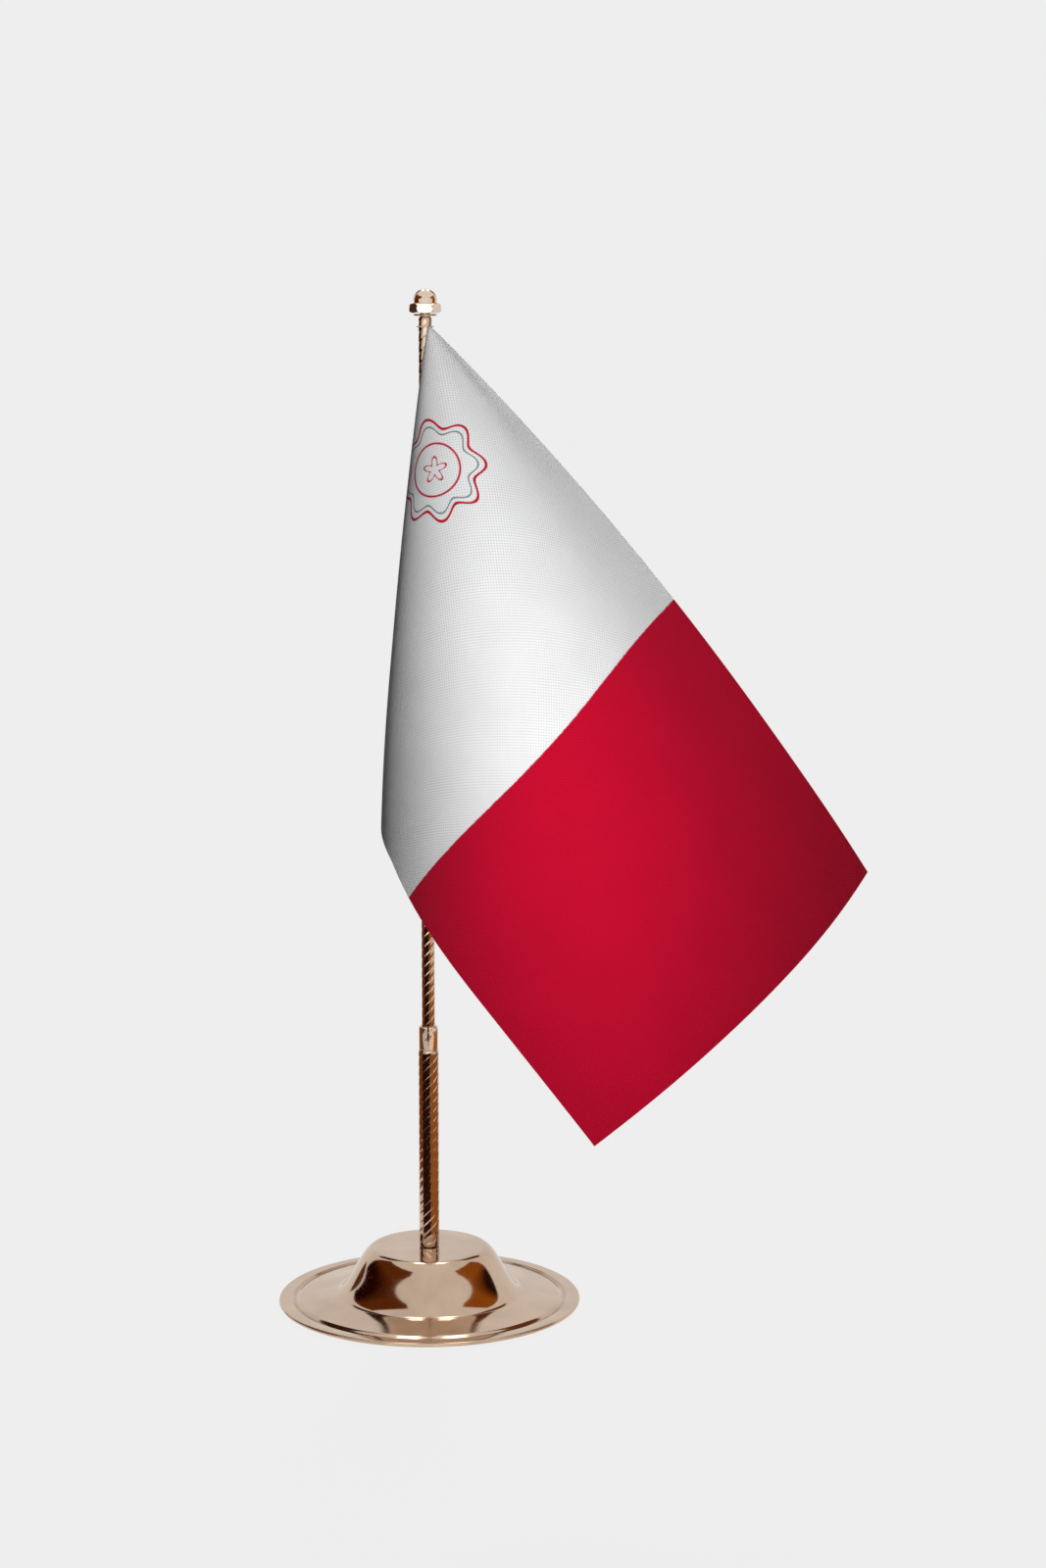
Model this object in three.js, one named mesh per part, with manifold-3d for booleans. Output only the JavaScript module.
// Table flag stand: a weighted pressed base, a two-stage telescoping pole with a friction ferrule,
// a hexagon acorn nut as the finial, and a cloth flag that hangs from the top of the pole.
// Millimetres, +Z up. The origin is on the table, under the middle of the pole.

import * as THREE from 'three';
import { mergeVertices } from 'three/addons/utils/BufferGeometryUtils.js';
import Module from 'manifold-3d';

const wasm = await Module();
wasm.setup();

// ---- Driving dimensions -------------------------------------------------------------------

const STAND_HEIGHT = 300;
const BASE_RADIUS = 45;
const SKIN = 0.7; // thickness of the pressed base shell
const GAP = 0.3; // air between pieces that rest on each other
const RUNNING_FIT = 0.1; // radial play between pieces that slide or turn

const BOSS_HEIGHT = 17;
const BOSS_RADIUS = 16.3; // flat top of the boss
const BOSS_FOOT_RADIUS = 28.5;
const BOSS_FOOT_HEIGHT = 3.2;
const BOSS_RUNOUT_RADIUS = BOSS_FOOT_RADIUS + 3; // the disc is straight from here outwards
const RIM_HEIGHT = 1.5;
const LIP_RADIUS = 0.6; // roundness of the rolled rim
const TURNED_IN_RADIUS = BASE_RADIUS - 2; // how far the rim is turned in underneath
const GROOVE = { radius: 40.4, depth: 0.5, halfWidth: 0.5 };
const DISC_RADIUS = GROOVE.radius - 0.8; // the sloping disc ends just inside the groove

const LOWER_TUBE = { outer: 3.0, inner: 2.6, bottom: BOSS_HEIGHT + GAP, top: 77 };
const UPPER_TUBE = { outer: 1.95, inner: 1.45, bottom: 62, top: 292 };
const FERRULE = { outer: 2.85, height: 7, spigot: 4, bottom: LOWER_TUBE.top + GAP };

const THREAD_RADIUS = 1.5;
const NUT_ACROSS_FLATS = 7.9;
const NUT_FLANGE = 2.7;
const NUT_DOME_RADIUS = 3.5;

const CLOTH = { length: 202.5, width: 135, thickness: 0.6, columns: 36, rows: 24 };
const CLOTH_CORNER = new THREE.Vector3(0.9, -2.95, 290);
const TIE_CORD_RADIUS = 0.22;
const TIE_SLACK = 0.08; // air between a tie and the pole
const TIE_TO_CORNER = 0.8; // how far in from the corner of the cloth a tie passes behind it

const ROUND = 48; // sides of the large turned pieces
const FINE_ROUND = 32; // sides of the small turned pieces

// ---- Geometry helpers ---------------------------------------------------------------------

// Keeps only positions, joins shared vertices and drops the slivers that a lathe leaves on its axis.
function closedBody(geometry) {
  const bare = new THREE.BufferGeometry();
  bare.setAttribute('position', geometry.getAttribute('position').clone());
  if (geometry.index) bare.setIndex(geometry.index.clone());
  const merged = mergeVertices(bare, 1e-4);
  const kept = [];
  const index = merged.index.array;
  for (let i = 0; i < index.length; i += 3) {
    const [a, b, c] = [index[i], index[i + 1], index[i + 2]];
    if (a !== b && b !== c && c !== a) kept.push(a, b, c);
  }
  merged.setIndex(kept);
  return faceOutward(merged);
}

// Turns every triangle over if the body is inside out.
function faceOutward(geometry) {
  const position = geometry.getAttribute('position');
  const index = geometry.index.array;
  const corner = (k) => new THREE.Vector3().fromBufferAttribute(position, index[k]);
  let volume = 0;
  for (let i = 0; i < index.length; i += 3) {
    volume += corner(i).dot(corner(i + 1).cross(corner(i + 2)));
  }
  if (volume < 0) geometry.setIndex(Array.from(index).reverse());
  return geometry;
}

function toManifold(geometry) {
  const body = geometry.index && !geometry.getAttribute('normal') ? geometry : closedBody(geometry);
  return new wasm.Manifold(new wasm.Mesh({
    numProp: 3,
    vertProperties: new Float32Array(body.getAttribute('position').array),
    triVerts: new Uint32Array(body.index.array),
  }));
}

function fromManifold(manifold) {
  const mesh = manifold.getMesh();
  const geometry = new THREE.BufferGeometry();
  geometry.setAttribute('position', new THREE.BufferAttribute(new Float32Array(mesh.vertProperties), 3));
  geometry.setIndex(Array.from(mesh.triVerts));
  return geometry;
}

function cut(geometry, ...tools) {
  return fromManifold(tools.reduce((body, tool) => body.subtract(toManifold(tool)), toManifold(geometry)));
}

function join(geometry, ...others) {
  return fromManifold(others.reduce((body, other) => body.add(toManifold(other)), toManifold(geometry)));
}

// A body turned about Z. The outline holds [radius, height] pairs and closes on itself,
// or starts and ends on the axis.
function turned(outline, sides = FINE_ROUND) {
  const points = outline.map(([radius, height]) => new THREE.Vector2(radius, height));
  const onAxis = points[0].x === 0 && points.at(-1).x === 0;
  if (!onAxis) points.push(points[0].clone());
  return closedBody(new THREE.LatheGeometry(points, sides).rotateX(Math.PI / 2));
}

function sleeve(outer, inner, bottom, top, sides = FINE_ROUND) {
  return turned([[inner, bottom], [outer, bottom], [outer, top], [inner, top]], sides);
}

function rod(radius, bottom, top, sides = FINE_ROUND) {
  return turned([[0, bottom], [radius, bottom], [radius, top], [0, top]], sides);
}

// A prism with an outline in X and Y.
function prism(corners, bottom, top) {
  const shape = new THREE.Shape(corners.map(([x, y]) => new THREE.Vector2(x, y)));
  const geometry = new THREE.ExtrudeGeometry(shape, { depth: top - bottom, bevelEnabled: false });
  return closedBody(geometry.translate(0, 0, bottom));
}

function hexagon(acrossFlats) {
  const radius = acrossFlats / Math.sqrt(3);
  const corners = Array.from({ length: 6 }, (_, side) => side * Math.PI / 3);
  return corners.map((angle) => [radius * Math.cos(angle), radius * Math.sin(angle)]);
}

// Points on a quarter round, from one angle to another, in [radius, height] pairs.
function roundCorner(centreRadius, centreHeight, size, fromAngle, toAngle, steps) {
  return Array.from({ length: steps + 1 }, (_, step) => {
    const angle = fromAngle + (toAngle - fromAngle) * step / steps;
    return [centreRadius + size * Math.cos(angle), centreHeight + size * Math.sin(angle)];
  });
}

// ---- Base ---------------------------------------------------------------------------------

// Height of the pressed top: a bell-shaped boss that runs out into a gently sloping disc.
function topHeight(radius) {
  const { clamp } = THREE.MathUtils;
  const inward = clamp((DISC_RADIUS - radius) / (DISC_RADIUS - BOSS_FOOT_RADIUS), 0, 1);
  const disc = RIM_HEIGHT + (BOSS_FOOT_HEIGHT - RIM_HEIGHT) * inward;
  const across = clamp((radius - BOSS_RADIUS) / (BOSS_FOOT_RADIUS - BOSS_RADIUS), 0, 1);
  return disc + (BOSS_HEIGHT - disc) * Math.cos(across * Math.PI / 2) ** 2;
}

// Points along the pressed top from one radius to another, set in from it by the given depth.
function topPoints(fromRadius, toRadius, depth, steps) {
  return Array.from({ length: steps + 1 }, (_, step) => {
    const radius = fromRadius + (toRadius - fromRadius) * step / steps;
    const slope = (topHeight(radius + 0.01) - topHeight(radius - 0.01)) / 0.02;
    const inset = depth / Math.hypot(1, slope);
    return [radius + slope * inset, topHeight(radius) - inset];
  });
}

function baseShell() {
  const screwHole = THREAD_RADIUS + GAP;
  const lipCentre = BASE_RADIUS - LIP_RADIUS;
  const rimUnderside = RIM_HEIGHT - 1.3 * SKIN;
  const outside = [
    [TURNED_IN_RADIUS, GAP],
    ...roundCorner(lipCentre, GAP + LIP_RADIUS, LIP_RADIUS, -Math.PI / 2, Math.PI / 2, 6),
    [GROOVE.radius + 2 * GROOVE.halfWidth, RIM_HEIGHT],
    [GROOVE.radius + GROOVE.halfWidth, RIM_HEIGHT - GROOVE.depth / 5],
    [GROOVE.radius, RIM_HEIGHT - GROOVE.depth],
    [GROOVE.radius - GROOVE.halfWidth, RIM_HEIGHT - GROOVE.depth / 5],
    [DISC_RADIUS, RIM_HEIGHT],
    ...topPoints(BOSS_RUNOUT_RADIUS, BOSS_RADIUS, 0, 13),
    [screwHole, BOSS_HEIGHT],
  ];
  const inside = [
    [screwHole, BOSS_HEIGHT - SKIN],
    ...topPoints(BOSS_RADIUS, BOSS_RUNOUT_RADIUS, SKIN, 9),
    [TURNED_IN_RADIUS - SKIN, rimUnderside],
    [TURNED_IN_RADIUS, rimUnderside],
  ];
  return turned([...outside, ...inside], ROUND);
}

const PAD = { radius: 34, thickness: 0.8 };
const WEIGHT = { radius: BOSS_FOOT_RADIUS - 1, bottom: PAD.thickness + GAP, recess: 4.6, recessTop: 5.6 };

// The iron weight follows the inside of the shell, with air between them.
function baseWeight() {
  const clearOfSkin = SKIN + 0.4;
  return turned([
    [THREAD_RADIUS + GAP, BOSS_HEIGHT - clearOfSkin],
    [THREAD_RADIUS + GAP, WEIGHT.recessTop],
    [WEIGHT.recess, WEIGHT.recessTop],
    [WEIGHT.recess, WEIGHT.bottom],
    [WEIGHT.radius - 0.4, WEIGHT.bottom],
    ...topPoints(WEIGHT.radius, BOSS_RADIUS, clearOfSkin, 8),
  ], ROUND);
}

function basePad() {
  return rod(PAD.radius, 0, PAD.thickness, ROUND);
}

const SCREW = { headRadius: 3.4, headBottom: 1.9, headTop: 4.3, tip: 24.2 };

function baseScrew() {
  const body = turned([
    [0, SCREW.headBottom],
    [SCREW.headRadius - 0.5, SCREW.headBottom],
    [SCREW.headRadius, SCREW.headBottom + 0.6],
    [SCREW.headRadius, SCREW.headTop],
    [THREAD_RADIUS, SCREW.headTop],
    [THREAD_RADIUS, SCREW.tip - 0.5],
    [THREAD_RADIUS - 0.5, SCREW.tip],
    [0, SCREW.tip],
  ]);
  const slot = new THREE.BoxGeometry(4, 0.8, 2.4).translate(0, 0, SCREW.headBottom);
  return cut(body, slot, slot.clone().rotateZ(Math.PI / 2));
}

function screwWasher() {
  const washerRadius = WEIGHT.recess - 0.4;
  return sleeve(washerRadius, THREAD_RADIUS + GAP, SCREW.headTop + GAP, WEIGHT.recessTop - GAP);
}

// ---- Pole ---------------------------------------------------------------------------------

const LOWER_PLUG_HEIGHT = 7.7;

function lowerPlug() {
  const { inner, bottom } = LOWER_TUBE;
  return sleeve(inner - RUNNING_FIT, THREAD_RADIUS + 0.2, bottom, bottom + LOWER_PLUG_HEIGHT);
}

function tube({ outer, inner, bottom, top }) {
  return sleeve(outer, inner, bottom, top);
}

// The stepped slit in the front of the ferrule, seen as [across, height] pairs.
function ferruleSlit(top) {
  return prism([
    [-0.3, top + 1], [0.3, top + 1], [0.3, top - 2.4], [1.1, top - 2.4],
    [0.3, top - 3.8], [0, top - 5.6], [-0.3, top - 3.9], [-1.1, top - 3.9], [-0.3, top - 2.9],
  ], 0, 4).rotateX(Math.PI / 2);
}

function gripFerrule() {
  const bore = UPPER_TUBE.outer + RUNNING_FIT;
  const top = FERRULE.bottom + FERRULE.height;
  const body = turned([
    [bore, FERRULE.bottom - FERRULE.spigot],
    [LOWER_TUBE.inner - RUNNING_FIT, FERRULE.bottom - FERRULE.spigot],
    [LOWER_TUBE.inner - RUNNING_FIT, FERRULE.bottom],
    [FERRULE.outer, FERRULE.bottom],
    [FERRULE.outer, top - 0.4],
    [FERRULE.outer - 0.4, top],
    [bore, top],
  ]);
  return cut(body, ferruleSlit(top));
}

const PLUG_NECK_RADIUS = 1.35;
const PLUG_NECK_LENGTH = 10; // inside the upper tube
const BUSH_HEIGHT = 6;
const BUSH_TOP = UPPER_TUBE.bottom - GAP;

function endPlug() {
  const flange = { radius: 2.3, thickness: 1.6 };
  const shoulder = BUSH_TOP - BUSH_HEIGHT - GAP;
  return turned([
    [0, shoulder - flange.thickness],
    [flange.radius - 0.4, shoulder - flange.thickness],
    [flange.radius, shoulder - flange.thickness + 0.4],
    [flange.radius, shoulder],
    [PLUG_NECK_RADIUS, shoulder],
    [PLUG_NECK_RADIUS, UPPER_TUBE.bottom + PLUG_NECK_LENGTH],
    [0, UPPER_TUBE.bottom + PLUG_NECK_LENGTH],
  ]);
}

function frictionBush() {
  const ring = sleeve(
    LOWER_TUBE.inner - RUNNING_FIT, PLUG_NECK_RADIUS + RUNNING_FIT, BUSH_TOP - BUSH_HEIGHT, BUSH_TOP);
  const split = new THREE.BoxGeometry(3, 0.7, BUSH_HEIGHT + 1).translate(2.5, 0, BUSH_TOP - BUSH_HEIGHT / 2);
  return cut(ring, split);
}

const STUD = { bottom: 280, top: 297 };

function topStud() {
  return turned([
    [0, STUD.bottom],
    [UPPER_TUBE.inner - RUNNING_FIT, STUD.bottom],
    [UPPER_TUBE.inner - RUNNING_FIT, UPPER_TUBE.top],
    [THREAD_RADIUS, UPPER_TUBE.top],
    [THREAD_RADIUS, STUD.top - 0.4],
    [THREAD_RADIUS - 0.4, STUD.top],
    [0, STUD.top],
  ]);
}

// ---- Finial -------------------------------------------------------------------------------

const WASHER = { radius: 3.4, bottom: UPPER_TUBE.top + GAP, thickness: 0.5 };
const NUT_BOTTOM = WASHER.bottom + WASHER.thickness + GAP;

function finialWasher() {
  const bore = THREAD_RADIUS + RUNNING_FIT;
  return sleeve(WASHER.radius, bore, WASHER.bottom, WASHER.bottom + WASHER.thickness);
}

function finialNut() {
  const flangeTop = NUT_BOTTOM + NUT_FLANGE;
  const flange = prism(hexagon(NUT_ACROSS_FLATS), NUT_BOTTOM, flangeTop);
  const domeCentre = STAND_HEIGHT - NUT_DOME_RADIUS;
  const dome = turned([
    [0, NUT_BOTTOM + 0.5],
    [NUT_DOME_RADIUS, NUT_BOTTOM + 0.5],
    ...roundCorner(0, domeCentre, NUT_DOME_RADIUS, 0, Math.PI / 2, 6).slice(0, -1),
    [0, STAND_HEIGHT],
  ]);
  const thread = rod(THREAD_RADIUS + RUNNING_FIT, NUT_BOTTOM - 1, STUD.top + 0.6);
  return cut(join(flange, dome), thread);
}

// ---- Flag ---------------------------------------------------------------------------------

// The cloth hangs as a cone from its tied corner. Every straight line on it from that corner is a
// ruling. The hoist is the first ruling and lies down the pole; the top edge is the last, a quarter
// turn later on the flat cloth. Between them the rulings sweep forwards and to the left, then round
// to the right, and turn fastest in the rounded ridge of the fold.
const RULING_STEPS = 60;
const SWEEP_START = THREE.MathUtils.degToRad(226);
const RIDGE_TURN = 2.52;
const RIDGE_SKEW = 2.69;
const RIDGE_EASE = 7.57;
const DROOP = 0.00447; // how fast a level ruling bends down, per mm of its length
const DROOP_SKEW = 1.28; // how much more the rulings near the hoist droop

// The weight of the cloth also pulls it out of square.
const BOW = 11.4; // how far its middle hangs out towards the fly
const SHEAR = 4.2;
const SAG = 4.5; // of the lower edge
const RIDGE_SWELL = 2.2;
const RIDGE_ANGLE = THREE.MathUtils.degToRad(22);
const RIDGE_SPREAD = THREE.MathUtils.degToRad(14);
const FLY_CURL = 10; // how far the fly turns back

function rulingDirections() {
  const direction = new THREE.Vector3(0, 0, -1);
  const sweep = new THREE.Vector3(Math.cos(SWEEP_START), Math.sin(SWEEP_START), 0);
  const directions = [direction.clone()];
  const step = Math.PI / 2 / RULING_STEPS;
  for (let i = 0; i < RULING_STEPS; i += 1) {
    const across = (i + 0.5) / RULING_STEPS - 0.5;
    const turn = RIDGE_EASE * across ** 2 + RIDGE_SKEW * across - RIDGE_TURN;
    const side = direction.clone().cross(sweep);
    const newDirection = direction.clone().addScaledVector(sweep, step).normalize();
    sweep.addScaledVector(direction, -step).addScaledVector(side, step * turn);
    sweep.addScaledVector(newDirection, -sweep.dot(newDirection)).normalize();
    direction.copy(newDirection);
    directions.push(direction.clone());
  }
  return directions;
}

const RULINGS = rulingDirections();

function rulingAt(angle) {
  const place = angle / (Math.PI / 2) * RULING_STEPS;
  const before = Math.min(Math.floor(place), RULING_STEPS - 1);
  return RULINGS[before].clone().lerp(RULINGS[before + 1], place - before);
}

// Where the rulings carry a point that lies on the flat cloth at this distance and angle.
function coneOffset(reach, angle) {
  const ruling = rulingAt(angle);
  const dip = Math.asin(Math.min(1, -ruling.z));
  const droop = DROOP * (1 - DROOP_SKEW * (angle / (Math.PI / 2) - 0.5));
  const bend = droop * Math.cos(dip) + 1e-9;
  const heading = Math.atan2(ruling.y, ruling.x);
  const outward = (Math.sin(dip + bend * reach) - Math.sin(dip)) / bend;
  const fall = (Math.cos(dip) - Math.cos(dip + bend * reach)) / bend;
  return new THREE.Vector3(outward * Math.cos(heading), outward * Math.sin(heading), -fall);
}

// The place in space of a point on the flat cloth: along the top edge from the hoist, and down.
function clothPoint(along, down) {
  const { clamp } = THREE.MathUtils;
  const [u, v] = [along / CLOTH.length, down / CLOTH.width];
  const bow = BOW * Math.sin(0.78 * Math.PI * u) * 4 * v * (1 - v);
  const shear = SHEAR * (1 - 2 * v) * 4 * u * (1 - u);
  const sag = SAG * Math.sin(Math.PI * clamp((u - 0.4) / 0.6, 0, 1)) * v ** 2;
  const [pulledAlong, pulledDown] = [along + bow + shear, down + sag];

  const reach = Math.hypot(pulledAlong, pulledDown);
  const angle = Math.atan2(pulledAlong, pulledDown);
  const point = coneOffset(reach, angle).add(CLOTH_CORNER);
  const fromRidge = (angle - RIDGE_ANGLE) / RIDGE_SPREAD;
  point.x -= RIDGE_SWELL * (reach / CLOTH.width) ** 2 * Math.exp(-fromRidge * fromRidge);
  point.y += FLY_CURL * clamp((u - 0.6) / 0.4, 0, 1) ** 2 * (1 - 0.7 * v);
  return point;
}

function clothNormal(along, down) {
  const step = 0.5;
  const [a, d] = [Math.max(along, 3), Math.max(down, 3)];
  const alongEdge = clothPoint(a + step, d).sub(clothPoint(a - step, d));
  const downEdge = clothPoint(a, d + step).sub(clothPoint(a, d - step));
  return downEdge.cross(alongEdge).normalize();
}

function flagCloth() {
  const { length, width, thickness, columns, rows } = CLOTH;
  const flat = closedBody(new THREE.BoxGeometry(length, width, thickness, columns, rows, 1));
  const position = flat.getAttribute('position');
  for (let i = 0; i < position.count; i += 1) {
    const along = Math.max(position.getX(i) + length / 2, 0);
    const down = Math.max(width / 2 - position.getY(i), 0);
    const point = clothPoint(along, down).addScaledVector(clothNormal(along, down), position.getZ(i));
    position.setXYZ(i, point.x, point.y, point.z);
  }
  return faceOutward(flat);
}

// A cord loop round the pole, sewn to one end of the hoist.
function tieLoop(height) {
  const loopRadius = UPPER_TUBE.outer + TIE_SLACK + TIE_CORD_RADIUS;
  return closedBody(new THREE.TorusGeometry(loopRadius, TIE_CORD_RADIUS, 6, 24).translate(0, 0, height));
}

// ---- Assembly -----------------------------------------------------------------------------

const COPPER = { color: 0xc79a72, roughness: 0.18, metalness: 1 };
const STEEL = { color: 0xb9b6b0, roughness: 0.35, metalness: 1 };
const BRASS = { color: 0xb8923f, roughness: 0.35, metalness: 1 };
const IRON = { color: 0x4b4a49, roughness: 0.8, metalness: 0.6 };
const RUBBER = { color: 0x262626, roughness: 0.9, metalness: 0 };
const FABRIC = { color: 0xe8e6e4, roughness: 0.9, metalness: 0 };
const CORD = { color: 0xe2ded6, roughness: 0.95, metalness: 0 };

const upperTieHeight = CLOTH_CORNER.z - TIE_TO_CORNER;
const lowerTieHeight = CLOTH_CORNER.z - CLOTH.width + TIE_TO_CORNER;

const pieces = [
  ['base_pad', basePad(), RUBBER],
  ['base_weight', baseWeight(), IRON],
  ['base_shell', baseShell(), COPPER],
  ['base_screw', baseScrew(), STEEL],
  ['screw_washer', screwWasher(), STEEL],
  ['lower_plug', lowerPlug(), BRASS],
  ['lower_tube', tube(LOWER_TUBE), COPPER],
  ['grip_ferrule', gripFerrule(), COPPER],
  ['friction_bush', frictionBush(), BRASS],
  ['end_plug', endPlug(), BRASS],
  ['upper_tube', tube(UPPER_TUBE), COPPER],
  ['top_stud', topStud(), STEEL],
  ['finial_washer', finialWasher(), BRASS],
  ['finial_nut', finialNut(), COPPER],
  ['flag_cloth', flagCloth(), FABRIC],
  ['flag_upper_tie', tieLoop(upperTieHeight), CORD],
  ['flag_lower_tie', tieLoop(lowerTieHeight), CORD],
];

const stand = new THREE.Group();
for (const [name, geometry, look] of pieces) {
  geometry.computeVertexNormals();
  const mesh = new THREE.Mesh(geometry, new THREE.MeshStandardMaterial(look));
  mesh.name = name;
  stand.add(mesh);
}

export default stand;
